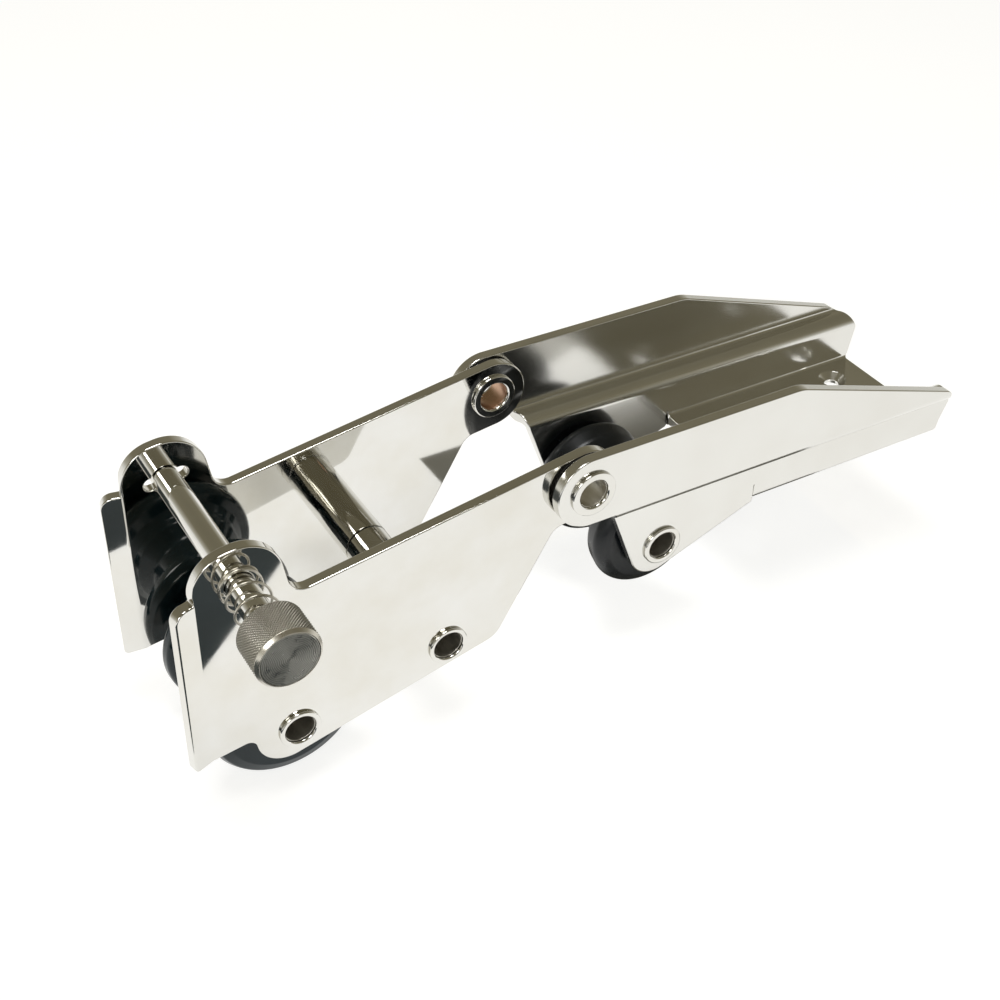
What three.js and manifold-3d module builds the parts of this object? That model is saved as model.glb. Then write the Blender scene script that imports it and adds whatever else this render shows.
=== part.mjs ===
// Hinged, self-launching bow roller. Millimetres, +Z up, +X forward over the bow, +Y to port.
// Origin: the middle of the underside of the base plate, where the part is screwed to the deck.
import * as THREE from 'three';
import { mergeVertices } from 'three/addons/utils/BufferGeometryUtils.js';
import Module from 'manifold-3d';

const wasm = await Module();
wasm.setup();

// ---------- driving dimensions ----------
const SHEET = 3.9;            // thickness of all the folded and flat sheet
const CLEAR = 0.3;            // gap between pieces that touch or turn on each other
const ARC_STEP = 12;          // degrees between points on a round outline
const SMALL_ARC = 5.5;        // arcs under this radius have half as many points
const ROUND = 32;             // flats round a turned piece
const WIDE = 50;              // further across the part than any sheet reaches, for cutters
const PAST = 5;               // how far a cutter runs past what it cuts

const PIVOT_X = 120.5;        // hinge axis, ahead of the middle of the base
const PIVOT_Z = 35.9;         // hinge axis, above the deck
const NOSE_DOWN = 8.06;       // degrees that the cradle rests below level

const TOP_Y = 36.25;          // outside of the channel's upper walls
const LOW_Y = 28.6;           // outside of the channel's lower walls
const LUG_R = 13.2;           // round front end of each upper wall
const BEND_IN = 1.3;          // inside radius of every fold in the channel
const BASE_FRONT = 43.5;      // front edge of the base plate
const CRADLE_Y = 31.15;       // outside of the cradle plates
const LOBE_R = 12.9;          // round rear end of each cradle plate

const TUBE_OUT = 6.4;         // hollow axles and hinge bushes, outside radius
const TUBE_IN = 5.3;          // their bore
const RIM_R = { hinge: 8.3, deck: 7.5, front: 7.2, guide: 7 };   // their rolled-over ends
const RIM_T = 0.9;            // how thick a rolled-over end is
const RIM_EDGE = 0.6;         // bevel round its outer edge

const DECK_ROLLER = { x: 83.3, z: -5.7 };            // axle of the roller under the channel's nose
const GUIDE = { x: 56.5, z: -40.5, r: 8.3 };         // in the cradle's own frame
const FRONT_ROLLER = { x: 111.6, z: -44.9 };         // in the cradle's own frame
const PIN = { x: 117.5, z: 23.2, r: 4.55 };          // in the cradle's own frame

const FLANGE_W = 7;           // width of the flared front edge of each cradle plate
const FLANGE_TILT = 14;       // degrees that it flares outwards

// ---------- materials ----------
const steel = (color, roughness) => new THREE.MeshStandardMaterial({ color, roughness, metalness: 1 });
const polished = () => steel(0xc9c8c2, 0.12);
const turned = () => steel(0x9c9a92, 0.35);
const rubber = () => new THREE.MeshStandardMaterial({ color: 0x15171a, roughness: 0.3, metalness: 0 });
const nylon = () => new THREE.MeshStandardMaterial({ color: 0x2c2c2c, roughness: 0.6, metalness: 0 });
const brass = () => steel(0xb08a5a, 0.35);

// ---------- solids ----------
function toSolid(geometry) {
  const bare = geometry.index ? geometry.toNonIndexed() : geometry.clone();
  bare.deleteAttribute('normal');
  bare.deleteAttribute('uv');
  const merged = mergeVertices(bare, 1e-4);
  return new wasm.Manifold(new wasm.Mesh({
    numProp: 3,
    vertProperties: new Float32Array(merged.attributes.position.array),
    triVerts: new Uint32Array(merged.index.array),
  }));
}

function toGeometry(solid) {
  const mesh = solid.getMesh();
  const geometry = new THREE.BufferGeometry();
  const position = new Float32Array(mesh.numVert * 3);
  for (let i = 0; i < mesh.numVert; i += 1) {
    for (let k = 0; k < 3; k += 1) position[3 * i + k] = mesh.vertProperties[i * mesh.numProp + k];
  }
  geometry.setAttribute('position', new THREE.BufferAttribute(position, 3));
  geometry.setIndex(new THREE.BufferAttribute(new Uint32Array(mesh.triVerts), 1));
  geometry.computeVertexNormals();
  return geometry;
}

function cutAll(solid, cutters) {
  return cutters.reduce((rest, cutter) => rest.subtract(cutter), solid);
}

function addNode(parent, name, solidOrGeometry, material) {
  const geometry = solidOrGeometry.isBufferGeometry ? solidOrGeometry : toGeometry(solidOrGeometry);
  const mesh = new THREE.Mesh(geometry, material);
  mesh.name = name;
  parent.add(mesh);
}

// ---------- outlines ----------
// Corners are [u, v, radius]. Each corner with a radius becomes an arc that is tangent to both sides.
function roundedPoints(corners) {
  const points = [];
  corners.forEach(([u, v, radius], i) => {
    const here = new THREE.Vector2(u, v);
    if (!radius) {
      points.push(here);
      return;
    }
    const before = new THREE.Vector2(...corners[(i + corners.length - 1) % corners.length]);
    const after = new THREE.Vector2(...corners[(i + 1) % corners.length]);
    const back = before.sub(here).normalize();
    const ahead = after.sub(here).normalize();
    const half = Math.acos(THREE.MathUtils.clamp(back.dot(ahead), -1, 1)) / 2;
    const middle = back.clone().add(ahead).normalize();
    const centre = here.clone().addScaledVector(middle, radius / Math.sin(half));
    const reach = radius / Math.tan(half);
    const start = here.clone().addScaledVector(back, reach).sub(centre);
    const end = here.clone().addScaledVector(ahead, reach).sub(centre);
    const sweep = Math.atan2(start.cross(end), start.dot(end));
    const step = radius < SMALL_ARC ? 2 * ARC_STEP : ARC_STEP;
    const steps = Math.max(2, Math.ceil(Math.abs(THREE.MathUtils.radToDeg(sweep)) / step));
    for (let k = 0; k <= steps; k += 1) {
      points.push(start.clone().rotateAround(new THREE.Vector2(), sweep * k / steps).add(centre));
    }
  });
  return points;
}

// A side-view outline (x, z) extruded across the part, from y = low to y = high.
function sidePrism(corners, low, high) {
  const shape = new THREE.Shape(roundedPoints(corners));
  const geometry = new THREE.ExtrudeGeometry(shape, { depth: high - low, bevelEnabled: false });
  geometry.rotateX(Math.PI / 2);
  geometry.translate(0, high, 0);
  return toSolid(geometry);
}

// A cross-section (y, z) extruded along the part, from x = rear to x = front.
function runPrism(corners, rear, front) {
  const shape = new THREE.Shape(roundedPoints(corners));
  const geometry = new THREE.ExtrudeGeometry(shape, { depth: front - rear, bevelEnabled: false });
  const turn = new THREE.Matrix4().makeBasis(
    new THREE.Vector3(0, 1, 0), new THREE.Vector3(0, 0, 1), new THREE.Vector3(1, 0, 0),
  );
  geometry.applyMatrix4(turn);
  geometry.translate(rear, 0, 0);
  return toSolid(geometry);
}

// A round cutter or bar across the part.
function crossBar(x, z, radius, low, high) {
  const geometry = new THREE.CylinderGeometry(radius, radius, high - low, ROUND);
  geometry.translate(x, (low + high) / 2, z);
  return toSolid(geometry);
}

// A turned piece about an axis parallel to Y; the profile is [radius, y] and closes on itself.
function turnedPiece(profile, x, z, flats = ROUND) {
  const points = profile.map(([r, y]) => new THREE.Vector2(r, y));
  if (THREE.ShapeUtils.isClockWise(points)) points.reverse();
  const geometry = new THREE.LatheGeometry([...points, points[0]], flats);
  geometry.translate(x, 0, z);
  return toSolid(geometry);
}

function mirrored(profile) {
  const other = profile.map(([r, y]) => [r, -y]).reverse();
  return [...profile, ...other];
}

// ---------- deck channel ----------
const DECK_TOP = PIVOT_Z + LUG_R;
const LUG_FOOT = PIVOT_Z - LUG_R;
const LEDGE_TOP = LUG_FOOT - 0.2;
const LUG_FRONT = PIVOT_X + LUG_R;
const BEND_OUT = BEND_IN + SHEET;
const CHANNEL_REAR = -50.2;     // rear tip of the low walls, just under the ledge
const LEDGE_REAR = -41.2;       // where the top edge of the high walls runs out at the ledge
// how far the slanted rear corners of the ledges are cut back at the tip and at the knee
const CORNER_TRIM = { tip: 0.4, knee: 0.7 };
const OVERLAP = 1;              // how far the front walls reach back into the folded section
const FOLD_EDGE = 2;            // outside radius of the tight fold under the low walls
const CHEEK_FOOT = -19.9;       // lowest corner of the cheeks that carry the deck roller

function channelOutline() {
  return [
    [LUG_FRONT, DECK_TOP, LUG_R - 0.01],
    [35.5, DECK_TOP, 16],
    [LEDGE_REAR, 24.1, 5],
    [CHANNEL_REAR, 17.4, 1],
    [-44.7, 0, 3],
    [40.5, 0, 6],
    [90.9, CHEEK_FOOT, 10.2],
    [109.9, LUG_FOOT, 1],
    [LUG_FRONT, LUG_FOOT, LUG_R - 0.01],
  ];
}

// One folded wall ahead of the base: down its outside, then up its inside. Side is 1 for port.
function wallSection(side, bottom) {
  const corners = [
    [side * TOP_Y, DECK_TOP + PAST],
    [side * TOP_Y, LEDGE_TOP - SHEET, BEND_OUT],
    [side * LOW_Y, LEDGE_TOP - SHEET, BEND_IN],
    [side * LOW_Y, bottom],
    [side * (LOW_Y - SHEET), bottom],
    [side * (LOW_Y - SHEET), LEDGE_TOP, BEND_OUT],
    [side * (TOP_Y - SHEET), LEDGE_TOP, BEND_IN],
    [side * (TOP_Y - SHEET), DECK_TOP + PAST],
  ];
  return side > 0 ? corners : corners.reverse();
}

// The whole folded section where the base plate joins both walls.
function baseSection() {
  const low = LOW_Y - SHEET;
  return [
    [TOP_Y, DECK_TOP + PAST],
    [TOP_Y - SHEET, DECK_TOP + PAST],
    [TOP_Y - SHEET, LEDGE_TOP, BEND_IN],
    [low, LEDGE_TOP, BEND_OUT],
    [low, SHEET, BEND_IN],
    [-low, SHEET, BEND_IN],
    [-low, LEDGE_TOP, BEND_OUT],
    [-TOP_Y + SHEET, LEDGE_TOP, BEND_IN],
    [-TOP_Y + SHEET, DECK_TOP + PAST],
    [-TOP_Y, DECK_TOP + PAST],
    [-TOP_Y, LEDGE_TOP - SHEET, BEND_OUT],
    [-LOW_Y, LEDGE_TOP - SHEET, BEND_IN],
    [-LOW_Y, 0, FOLD_EDGE],
    [LOW_Y, 0, FOLD_EDGE],
    [LOW_Y, LEDGE_TOP - SHEET, BEND_IN],
    [TOP_Y, LEDGE_TOP - SHEET, BEND_OUT],
  ];
}

const SCREWS = [[-30, 14.5], [-30, -14.5], [28, 0]];   // x and y of the deck screws
const SCREW_R = 2.8;
const SINK_R = 5.3;             // countersink at the top face
const SINK_DEPTH = 2.5;

function screwHole(x, y) {
  const profile = [
    [0, -PAST], [SCREW_R, -PAST], [SCREW_R, SHEET - SINK_DEPTH],
    [SINK_R, SHEET], [SINK_R, SHEET + PAST], [0, SHEET + PAST],
  ];
  const geometry = new THREE.LatheGeometry(profile.map(([r, h]) => new THREE.Vector2(r, h)), ROUND);
  geometry.rotateX(Math.PI / 2);
  geometry.translate(x, y, 0);
  return toSolid(geometry);
}

// What is cut off the rear end of a ledge, seen from above: a slant from the high wall to the low one.
function ledgeCorner(side) {
  const far = TOP_Y + PAST;
  const near = LOW_Y + CLEAR;
  const slant = (CHANNEL_REAR - LEDGE_REAR) / (TOP_Y - near);
  const corners = [
    [CHANNEL_REAR - PAST, side * far], [CHANNEL_REAR - PAST, side * near],
    [CHANNEL_REAR + CORNER_TRIM.tip, side * near], [LEDGE_REAR + CORNER_TRIM.knee - slant * PAST, side * far],
  ];
  const points = roundedPoints(corners);
  const outline = new THREE.Shape(points);
  const geometry = new THREE.ExtrudeGeometry(outline, { depth: DECK_TOP, bevelEnabled: false });
  return toSolid(geometry);
}

function deckChannel() {
  const rear = runPrism(baseSection(), CHANNEL_REAR - PAST, BASE_FRONT);
  const port = runPrism(wallSection(1, CHEEK_FOOT - PAST), BASE_FRONT - OVERLAP, LUG_FRONT + PAST);
  const starboard = runPrism(wallSection(-1, CHEEK_FOOT - PAST), BASE_FRONT - OVERLAP, LUG_FRONT + PAST);
  const folded = rear.add(port).add(starboard);
  const trimmed = folded.intersect(sidePrism(channelOutline(), -WIDE, WIDE));
  return cutAll(trimmed, [
    ...SCREWS.map(([x, y]) => screwHole(x, y)),
    ledgeCorner(1),
    ledgeCorner(-1),
    crossBar(DECK_ROLLER.x, DECK_ROLLER.z, TUBE_OUT + CLEAR, -WIDE, WIDE),
    crossBar(PIVOT_X, PIVOT_Z, TUBE_OUT + CLEAR, -WIDE, WIDE),
  ]);
}

// ---------- cradle plates, in the cradle's frame: origin on the hinge axis ----------
const EAR_R = 14;
const EAR = { x: PIN.x + 0.5, z: PIN.z - 0.4 };
const FOLD_TOP = { x: 132.3, z: 22.8 };
const FOLD_FOOT = { x: 141.3, z: -40.3 };

function plateOutline() {
  return [
    [-LOBE_R, LOBE_R, LOBE_R - 0.3],
    [-LOBE_R, -LOBE_R, LOBE_R - 0.05],
    [12.4, -LOBE_R, 6],
    [38.6, -47.5, 8],
    [125.4, -56.7, 11],
    [126.4, -40.6, 3.5],
    [148.3, -41, 1.5],
    [139, 23.8, 4.2],
    [132.1, 23.2, 0.6],
    [EAR.x + EAR_R, EAR.z + EAR_R, EAR_R - 1.2],
    [EAR.x - EAR_R, EAR.z + EAR_R, EAR_R - 0.1],
    [102.8, 10.7, 6],
  ];
}

// The sheet before it is cut out: flat, with its front strip folded outwards along the fold line.
function foldedSheet(side) {
  const far = 200;              // larger than the plate in every direction
  const tilt = THREE.MathUtils.degToRad(FLANGE_TILT);
  const reach = [2 * FLANGE_W * Math.cos(tilt), 2 * FLANGE_W * Math.sin(tilt)];
  const section = [
    [-far, 0], [0, 0], reach,
    [reach[0] - SHEET * Math.sin(tilt), reach[1] + SHEET * Math.cos(tilt)],
    [-SHEET * Math.tan(tilt / 2), SHEET], [-far, SHEET],
  ];
  const shape = new THREE.Shape(section.map(([u, y]) => new THREE.Vector2(u, side * y)));
  const geometry = new THREE.ExtrudeGeometry(shape, { depth: far, bevelEnabled: false });
  const lean = Math.atan2(FOLD_FOOT.x - FOLD_TOP.x, FOLD_TOP.z - FOLD_FOOT.z);
  geometry.translate(0, side * (CRADLE_Y - SHEET), -far / 2);
  geometry.rotateY(-lean);
  geometry.translate(FOLD_FOOT.x, 0, FOLD_FOOT.z);
  return toSolid(geometry);
}

const KEYWAY_SPAN = 14.8;      // tip to tip of the slots that let the cross pin through
const KEYWAY_W = 4.4;

function keyway(low, high) {
  const reach = KEYWAY_SPAN / 2;
  const half = KEYWAY_W / 2;
  const corners = [
    [PIN.x - reach, PIN.z - half, half - 0.01], [PIN.x + reach, PIN.z - half, half - 0.01],
    [PIN.x + reach, PIN.z + half, half - 0.01], [PIN.x - reach, PIN.z + half, half - 0.01],
  ];
  return sidePrism(corners, low, high);
}

function cradlePlate(side) {
  const inner = side * (CRADLE_Y - SHEET);
  const outer = side * CRADLE_Y;
  const low = Math.min(inner, outer) - PAST;
  const high = Math.max(inner, outer) + PAST;
  const blank = sidePrism(plateOutline(), low, high).intersect(foldedSheet(side));
  const cutters = [
    crossBar(0, 0, TUBE_OUT + CLEAR, low, high),
    crossBar(GUIDE.x, GUIDE.z, TUBE_OUT + CLEAR, low, high),
    crossBar(FRONT_ROLLER.x, FRONT_ROLLER.z, TUBE_OUT + CLEAR, low, high),
    crossBar(PIN.x, PIN.z, PIN.r + CLEAR, low, high),
  ];
  if (side < 0) cutters.push(keyway(low, high));
  return cutAll(blank, cutters);
}

// ---------- hollow axles and bushes ----------
// A tube whose two ends are rolled over the sheet; low and high are the sheet faces that it clamps.
function rolledTube(x, z, rim, low, high) {
  const foot = low - CLEAR;
  const head = high + CLEAR;
  const profile = [
    [TUBE_IN, foot - RIM_T], [rim - RIM_EDGE, foot - RIM_T],
    [rim, foot - RIM_T + RIM_EDGE], [rim, foot], [TUBE_OUT, foot],
    [TUBE_OUT, head], [rim, head], [rim, head + RIM_T - RIM_EDGE],
    [rim - RIM_EDGE, head + RIM_T], [TUBE_IN, head + RIM_T],
  ];
  return turnedPiece(profile, x, z);
}

function ring(x, z, inner, outer, low, high) {
  return turnedPiece([[inner, low], [outer, low], [outer, high], [inner, high]], x, z);
}

// ---------- rollers ----------
const BUSH_IN = TUBE_OUT + CLEAR;
const BUSH_WALL = 1.6;
const BUSH_OUT = BUSH_IN + BUSH_WALL;
const ROLLER_BORE = BUSH_OUT + CLEAR;

const FRONT_HALF = 23.4;      // half the width of the front roller
const DECK_HALF = 22.6;       // half the width of the deck roller

function frontRollerProfile() {
  const flank = [
    [ROLLER_BORE, FRONT_HALF], [23, FRONT_HALF], [25.8, 22], [26.8, 19.6], [26.4, 16.4],
    [24.4, 14], [21, 12.4], [19.6, 9.8], [17, 7], [15.2, 4.4], [14.9, 2],
  ];
  return mirrored(flank);
}

function deckRollerProfile() {
  const flank = [
    [ROLLER_BORE, DECK_HALF], [18.4, DECK_HALF], [21, 21.2], [22, 18.8], [21.8, 15.6],
    [19.4, 11.8], [16, 8], [14.4, 5], [13.9, 2],
  ];
  return mirrored(flank);
}

// ---------- locking pin ----------
const SPRING_FOOT = CRADLE_Y + CLEAR;
const SPRING_END = 50.4;
const SPRING_R = 6.4;         // radius of the middle of the wire
const WIRE_R = 0.45;
const SPRING_TURNS = 4.2;

// The first and last coils lie almost flat and the coils between them are open.
class SpringCurve extends THREE.Curve {
  getPoint(t, target = new THREE.Vector3()) {
    const angle = 2 * Math.PI * SPRING_TURNS * t;
    const open = THREE.MathUtils.smoothstep(t, 0.12, 0.9);
    const start = SPRING_FOOT + WIRE_R;
    const end = SPRING_END - WIRE_R;
    const y = start + (end - start) * THREE.MathUtils.lerp(t, open, 0.88);
    return target.set(PIN.x + SPRING_R * Math.cos(angle), y, PIN.z + SPRING_R * Math.sin(angle));
  }
}

function springGeometry() {
  const wire = new THREE.Shape();
  wire.absarc(0, 0, WIRE_R, 0, 2 * Math.PI);
  return new THREE.ExtrudeGeometry(wire, {
    steps: 64, extrudePath: new SpringCurve(), curveSegments: 4, bevelEnabled: false,
  });
}

const CROSS_R = 1.6;
const CROSS_LENGTH = 13.6;
const CROSS_Y = -(CRADLE_Y + CLEAR + CROSS_R);
const PIN_TIP = CROSS_Y - 3.4;
const PIN_CHAMFER = 1;
const KNOB_BACK = 50.7;
const KNOB_END = 66.2;
const KNOB_R = 10.4;
const KNOB_SOCKET = 9;        // how deep the pin goes into the knob
const EDGE = 0.4;             // small bevel on the ends of the cross pin

// A round bar along the cradle's own Z through the pin, with both ends bevelled.
function throughPin(radius, half, bevel) {
  const profile = [
    [0, -half], [radius - bevel, -half], [radius, bevel - half],
    [radius, half - bevel], [radius - bevel, half], [0, half],
  ];
  const geometry = new THREE.LatheGeometry(profile.map(([r, h]) => new THREE.Vector2(r, h)), 24);
  geometry.rotateX(Math.PI / 2);
  geometry.translate(PIN.x, CROSS_Y, PIN.z);
  return toSolid(geometry);
}

function lockPin() {
  const end = KNOB_BACK + KNOB_SOCKET;
  const profile = [
    [0, PIN_TIP], [PIN.r - PIN_CHAMFER, PIN_TIP], [PIN.r, PIN_TIP + PIN_CHAMFER], [PIN.r, end], [0, end],
  ];
  const shaft = turnedPiece(profile, PIN.x, PIN.z);
  return shaft.subtract(throughPin(CROSS_R + CLEAR, CROSS_LENGTH, EDGE));
}

function knob() {
  const socket = PIN.r + CLEAR;
  const bottom = KNOB_BACK + KNOB_SOCKET + CLEAR;
  const profile = [
    [socket, KNOB_BACK], [KNOB_R - 2.2, KNOB_BACK], [KNOB_R, KNOB_BACK + 2], [KNOB_R, KNOB_END - 1],
    [KNOB_R - 0.9, KNOB_END], [0, KNOB_END], [0, bottom], [socket, bottom],
  ];
  return turnedPiece(profile, PIN.x, PIN.z);
}

// ---------- assembly ----------
const part = new THREE.Group();
const cradle = new THREE.Group();
cradle.position.set(PIVOT_X, 0, PIVOT_Z);
cradle.rotation.y = THREE.MathUtils.degToRad(NOSE_DOWN);
part.add(cradle);

const SIDES = [['port', 1], ['starboard', -1]];
const HINGE_WASHER_R = 10.5;
const DECK_WASHER_R = 10;
const FRONT_WASHER_R = 11;
const COLLAR_START = 20.6;    // the fixed collar at the port end of the guide sleeve
const COLLAR_STEP = 0.3;      // how much larger its radius is
const GUIDE_END = CRADLE_Y - SHEET - CLEAR;

// A washer that fills the gap between two faces on one side of the part.
function sideWasher(x, z, outer, side, near, far) {
  const [low, high] = [side * (near + CLEAR), side * (far - CLEAR)].sort((a, b) => a - b);
  return ring(x, z, TUBE_OUT + CLEAR, outer, low, high);
}

addNode(part, 'deck_channel', deckChannel(), polished());
addNode(part, 'deck_axle', rolledTube(DECK_ROLLER.x, DECK_ROLLER.z, RIM_R.deck, -LOW_Y, LOW_Y), polished());
addNode(part, 'deck_roller', turnedPiece(deckRollerProfile(), DECK_ROLLER.x, DECK_ROLLER.z), rubber());
addNode(part, 'deck_roller_bush',
  ring(DECK_ROLLER.x, DECK_ROLLER.z, BUSH_IN, BUSH_OUT, -DECK_HALF, DECK_HALF), brass());

SIDES.forEach(([name, side]) => {
  const hinge = side > 0 ? [CRADLE_Y - SHEET, TOP_Y] : [-TOP_Y, -CRADLE_Y + SHEET];
  addNode(part, `hinge_bush_${name}`, rolledTube(PIVOT_X, PIVOT_Z, RIM_R.hinge, ...hinge), brass());
  addNode(part, `hinge_washer_${name}`,
    sideWasher(PIVOT_X, PIVOT_Z, HINGE_WASHER_R, side, CRADLE_Y, TOP_Y - SHEET), nylon());
  addNode(part, `deck_washer_${name}`,
    sideWasher(DECK_ROLLER.x, DECK_ROLLER.z, DECK_WASHER_R, side, DECK_HALF, LOW_Y - SHEET), nylon());
  addNode(cradle, `cradle_plate_${name}`, cradlePlate(side), polished());
  const nose = sideWasher(FRONT_ROLLER.x, FRONT_ROLLER.z, FRONT_WASHER_R, side, FRONT_HALF, CRADLE_Y - SHEET);
  addNode(cradle, `front_washer_${name}`, nose, nylon());
});

const frontAxle = rolledTube(FRONT_ROLLER.x, FRONT_ROLLER.z, RIM_R.front, -CRADLE_Y, CRADLE_Y);
addNode(cradle, 'front_axle', frontAxle, polished());
addNode(cradle, 'front_roller',
  turnedPiece(frontRollerProfile(), FRONT_ROLLER.x, FRONT_ROLLER.z), rubber());
addNode(cradle, 'front_roller_bush',
  ring(FRONT_ROLLER.x, FRONT_ROLLER.z, BUSH_IN, BUSH_OUT, -FRONT_HALF, FRONT_HALF), brass());

addNode(cradle, 'guide_axle', rolledTube(GUIDE.x, GUIDE.z, RIM_R.guide, -CRADLE_Y, CRADLE_Y), polished());
addNode(cradle, 'guide_collar',
  ring(GUIDE.x, GUIDE.z, TUBE_OUT + CLEAR, GUIDE.r + COLLAR_STEP, COLLAR_START, GUIDE_END), polished());
addNode(cradle, 'guide_sleeve',
  ring(GUIDE.x, GUIDE.z, TUBE_OUT + CLEAR, GUIDE.r, -GUIDE_END, COLLAR_START - CLEAR), polished());

addNode(cradle, 'lock_spring', springGeometry(), polished());
addNode(cradle, 'lock_pin', lockPin(), polished());
addNode(cradle, 'lock_cross_pin', throughPin(CROSS_R, CROSS_LENGTH / 2, EDGE), polished());
addNode(cradle, 'lock_knob', knob(), turned());

export default part;
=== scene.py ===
"""Hinged bow roller: the looks of each piece, the light and the camera.

Lengths are in millimetres until make() and in metres for the stage, the lamps and the camera.
+X is outboard, +Y is port and +Z is up, with the origin under the middle of the base plate.
"""

import math

import bpy
import numpy as np
from mathutils import Matrix, Vector
from mathutils.geometry import delaunay_2d_cdt

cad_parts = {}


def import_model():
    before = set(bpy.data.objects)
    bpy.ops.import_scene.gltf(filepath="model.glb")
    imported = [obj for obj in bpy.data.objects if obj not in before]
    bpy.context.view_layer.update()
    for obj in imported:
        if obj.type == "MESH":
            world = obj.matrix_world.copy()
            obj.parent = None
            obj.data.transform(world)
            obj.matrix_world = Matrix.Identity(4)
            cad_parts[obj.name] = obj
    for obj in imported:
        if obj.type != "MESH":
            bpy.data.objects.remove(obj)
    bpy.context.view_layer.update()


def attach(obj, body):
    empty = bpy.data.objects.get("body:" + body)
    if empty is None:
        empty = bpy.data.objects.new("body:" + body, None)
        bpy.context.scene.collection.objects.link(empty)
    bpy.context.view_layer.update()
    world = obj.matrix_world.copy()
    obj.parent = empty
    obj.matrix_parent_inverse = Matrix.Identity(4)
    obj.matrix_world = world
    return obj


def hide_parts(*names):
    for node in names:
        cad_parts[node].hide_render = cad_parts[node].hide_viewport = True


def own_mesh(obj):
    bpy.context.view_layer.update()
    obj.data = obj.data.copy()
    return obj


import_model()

# ---------- dimensions shared with the CAD ----------
SHEET = 3.9                    # thickness of the channel and the cradle plates
CLEAR = 0.3                    # gap between pieces that touch in the real thing
EDGE = 0.5                     # how far every sheet edge is polished round
HOLE_EASE = 0.1                # how much wider the sheet's holes are than the tubes in them
HINGE = (120.5, 0.0, 35.9)
HINGE_XZ = (HINGE[0], HINGE[2])
NOSE_DOWN = math.radians(8.06)  # how far the cradle hangs down at rest
TOP_Y = 36.25                  # outer face of the channel's high walls
LOW_Y = 28.6                   # outer face of its low walls
LUG_R = 13.2                   # the high walls' round nose, about the hinge
BEND_IN = 1.3
BEND_OUT = BEND_IN + SHEET
BASE_FRONT = 43.5
CRADLE_Y = 31.15               # outer face of the cradle plates
LOBE_R = 12.9                  # the cradle plates' round end, about the hinge
TUBE_OUT = 6.4                 # outer and inner radius of every hollow axle
TUBE_IN = 5.3
LINER = (TUBE_IN - 0.15, TUBE_IN + 0.1)     # radii of the skin that shows in a tube's bore, whose colour carries painted light
RIM_R = {"hinge": 8.3, "deck": 7.5, "front": 7.2, "guide": 7.0}
RIM_T = 0.9                    # how far the rolled rims stand off the sheet
DECK_ROLLER = (83.3, -5.7)     # x and z of an axis; the next three are in the cradle's own frame
GUIDE = (56.5, -40.5)
FRONT_ROLLER = (111.6, -44.9)
PIN = (117.5, 23.2)
GUIDE_R = 8.3
PIN_R = 4.55
FRONT_HALF = 23.4              # half the width of the front roller
DECK_HALF = 22.6               # half the width of the deck roller
DECK_TOP = HINGE[2] + LUG_R
LUG_FOOT = HINGE[2] - LUG_R
LEDGE_TOP = LUG_FOOT - 0.2
LUG_FRONT = HINGE[0] + LUG_R
FOLD_SPAN = (-80, 160)         # x of the ends of the channel's fold lines, past both of its ends


# ---------- outlines ----------
def unit(v):
    """The vector with a length of one."""
    return v / np.linalg.norm(v)


def fillet(before, corner, after, radius, step=5.0):
    """Points on the arc that rounds one corner, tangent to both of its sides."""
    here = np.array(corner, float)
    back, ahead = unit(np.array(before, float) - here), unit(np.array(after, float) - here)
    half = math.acos(max(-1.0, min(1.0, float(back @ ahead)))) / 2
    centre = here + unit(back + ahead) * radius / math.sin(half)
    start = here + back * radius / math.tan(half) - centre
    end = here + ahead * radius / math.tan(half) - centre
    sweep = math.atan2(start[0] * end[1] - start[1] * end[0], float(start @ end))
    count = max(2, math.ceil(abs(math.degrees(sweep)) / step))
    turn = sweep * np.arange(count + 1)[:, None] / count
    return centre + np.cos(turn) * start + np.sin(turn) * np.array((-start[1], start[0]))


def rounded(corners, step=5.0):
    """Corners are (u, v, radius), each rounded by its radius."""
    arcs = [fillet(corners[i - 1][:2], (u, v), corners[(i + 1) % len(corners)][:2], radius, step)
            for i, (u, v, radius) in enumerate(corners)]
    points = np.concatenate(arcs)
    apart = np.linalg.norm(points - np.roll(points, 1, 0), axis=1) > 0.03
    return points[apart]


def circle(u, v, radius, count=72):
    """Points of a full circle, counter-clockwise from +u."""
    a = np.arange(count) * 2 * math.pi / count
    return np.stack((u + radius * np.cos(a), v + radius * np.sin(a)), 1)


def ccw(points):
    """The loop turned counter-clockwise."""
    x, y = points[:, 0], points[:, 1]
    area = np.sum(x * np.roll(y, -1) - np.roll(x, -1) * y)
    return points if area > 0 else points[::-1]


def outward(points):
    """Unit normals out of a counter-clockwise loop, with each side weighted by its length."""
    ahead = np.roll(points, -1, 0) - points
    side = np.stack((ahead[:, 1], -ahead[:, 0]), 1)
    total = side + np.roll(side, 1, 0)
    return total / np.linalg.norm(total, axis=1)[:, None]


# ---------- meshes ----------
def to_cradle_place(v):
    """From the cradle's own frame to the row frame, for points (moved) and directions (not moved)."""
    c, s = math.cos(NOSE_DOWN), math.sin(NOSE_DOWN)
    turn = np.array(((c, 0, s), (0, 1, 0), (-s, 0, c)))
    return v @ turn.T


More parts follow.
